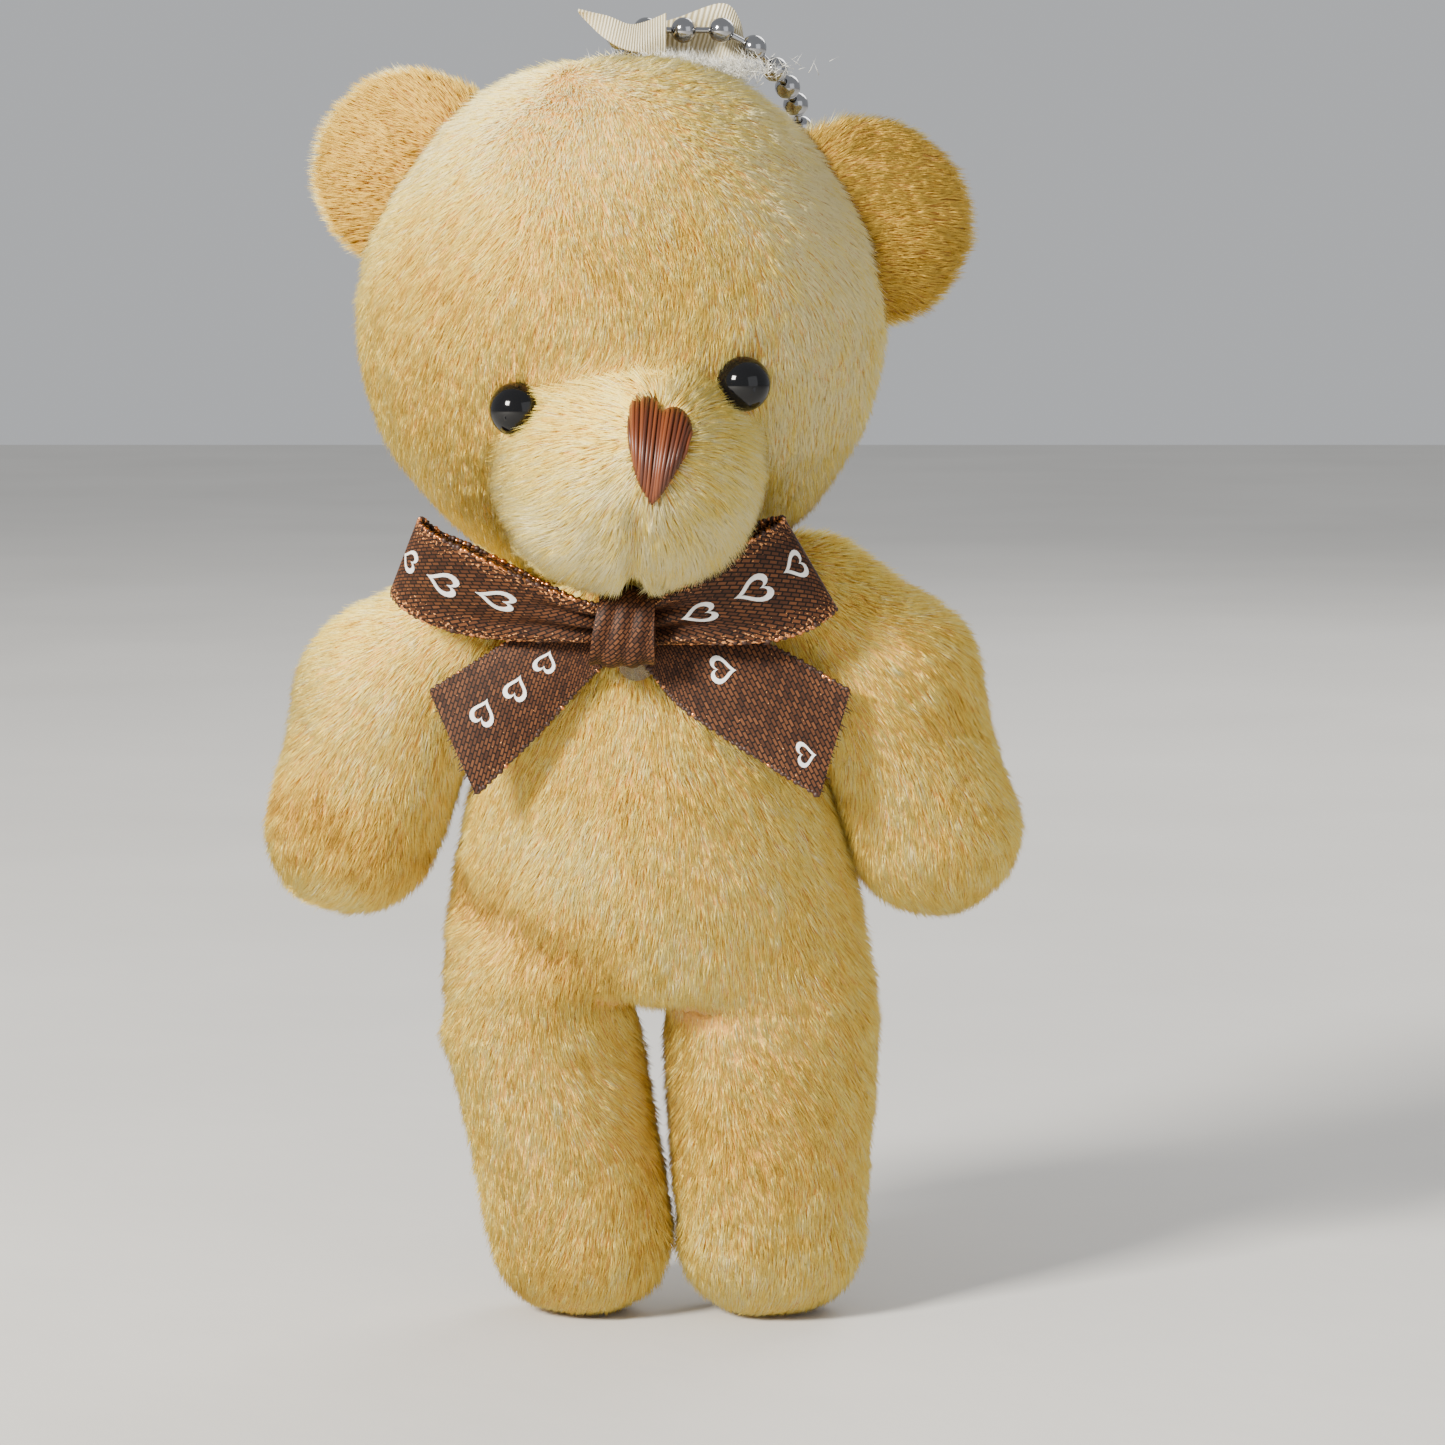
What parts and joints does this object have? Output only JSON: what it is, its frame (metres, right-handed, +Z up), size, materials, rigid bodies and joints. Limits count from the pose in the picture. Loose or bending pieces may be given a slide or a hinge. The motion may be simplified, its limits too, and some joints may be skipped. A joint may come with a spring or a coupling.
{
  "type": "plush keychain",
  "caption": "Small plush teddy bear with a ribbon bow, hung from a ball chain through a satin tab on its head, to clip on keys or a bag.",
  "frame": {"origin": "middle of the box that holds the bear, at the soles of its feet", "axes": "+Z up through the bear, -Y the way it faces, +X to its left (the right of someone looking at its face)"},
  "size_m": [0.0703, 0.0491, 0.1229],
  "materials": {
    "plush": "short pile, golden cream",
    "plush_ear": "short pile, warmer gold",
    "stuffing": "white polyester fibre",
    "nose_thread": "satin stitched thread",
    "eye_bead": "high gloss black",
    "washer": "natural nylon",
    "bow_ribbon": "woven satin ribbon with a copper metallic thread",
    "bow_print": "white printed motif",
    "glue": "clear hot glue",
    "tab_ribbon": "cream satin ribbon",
    "chain_steel": "bright nickel plate"
  },
  "bodies": {
    "torso": {"body_front": "plush", "body_back": "plush", "body_filling": "stuffing", "neck_filling": "stuffing", "bow_loop_left": "bow_ribbon", "bow_loop_right": "bow_ribbon", "bow_tail_left": "bow_ribbon", "bow_tail_right": "bow_ribbon", "bow_knot": "bow_ribbon", "bow_glue": "glue"},
    "head": {"head_front": "plush", "head_back": "plush", "head_filling": "stuffing", "muzzle": "plush", "muzzle_filling": "stuffing", "nose_stitching": "nose_thread", "ear_front_left": "plush_ear", "ear_back_left": "plush_ear", "ear_front_right": "plush_ear", "ear_back_right": "plush_ear", "eye_left": "eye_bead", "eye_right": "eye_bead", "eye_washer_left": "washer", "eye_washer_right": "washer", "hang_tab": "tab_ribbon"},
    "arm_left": {"arm_left": "plush", "arm_filling_left": "stuffing"},
    "arm_right": {"arm_right": "plush", "arm_filling_right": "stuffing"},
    "leg_left": {"leg_left": "plush", "leg_filling_left": "stuffing"},
    "leg_right": {"leg_right": "plush", "leg_filling_right": "stuffing"},
    "chain_upper": {"chain_balls_upper": "chain_steel", "chain_links_upper": "chain_steel"},
    "chain_middle": {"chain_balls_middle": "chain_steel", "chain_links_middle": "chain_steel"},
    "chain_lower": {"chain_balls_lower": "chain_steel", "chain_links_lower": "chain_steel"},
    "connector": {"chain_connector": "chain_steel"}
  },
  "joints": [
    {"name": "head_nod", "type": "hinge", "parent": "torso", "child": "head", "pos_m": [-0.0008, 0.0027, 0.0706], "axis": [1, 0, 0], "range_deg": [-18, 0]},
    {"name": "arm_left_swing", "type": "hinge", "parent": "torso", "child": "arm_left", "pos_m": [-0.0176, 0.0027, 0.0605], "axis": [-1, 0, 0], "range_deg": [-15, 45]},
    {"name": "arm_right_swing", "type": "hinge", "parent": "torso", "child": "arm_right", "pos_m": [0.0192, 0.0027, 0.0605], "axis": [-1, 0, 0], "range_deg": [-15, 45]},
    {"name": "leg_left_swing", "type": "hinge", "parent": "torso", "child": "leg_left", "pos_m": [-0.0093, 0.0027, 0.0275], "axis": [-1, 0, 0], "range_deg": [-14, 28]},
    {"name": "leg_right_swing", "type": "hinge", "parent": "torso", "child": "leg_right", "pos_m": [0.0123, 0.0027, 0.0275], "axis": [-1, 0, 0], "range_deg": [-14, 28]},
    {"name": "chain_lift", "type": "hinge", "parent": "head", "child": "chain_upper", "pos_m": [0.0041, 0.0035, 0.1204], "axis": [1, 0, 0], "range_deg": [0, 140]},
    {"name": "chain_middle_bend", "type": "hinge", "parent": "chain_upper", "child": "chain_middle", "pos_m": [0.0111, 0.0123, 0.1136], "axis": [1, 0, 0], "range_deg": [0, 45]},
    {"name": "chain_lower_bend", "type": "hinge", "parent": "chain_middle", "child": "chain_lower", "pos_m": [0.0119, 0.0214, 0.0991], "axis": [1, 0, 0], "range_deg": [0, 45]},
    {"name": "connector_turn", "type": "hinge", "parent": "chain_lower", "child": "connector", "pos_m": [0.0119, 0.0228, 0.0825], "axis": [1, 0, 0], "continuous": true}
  ]
}
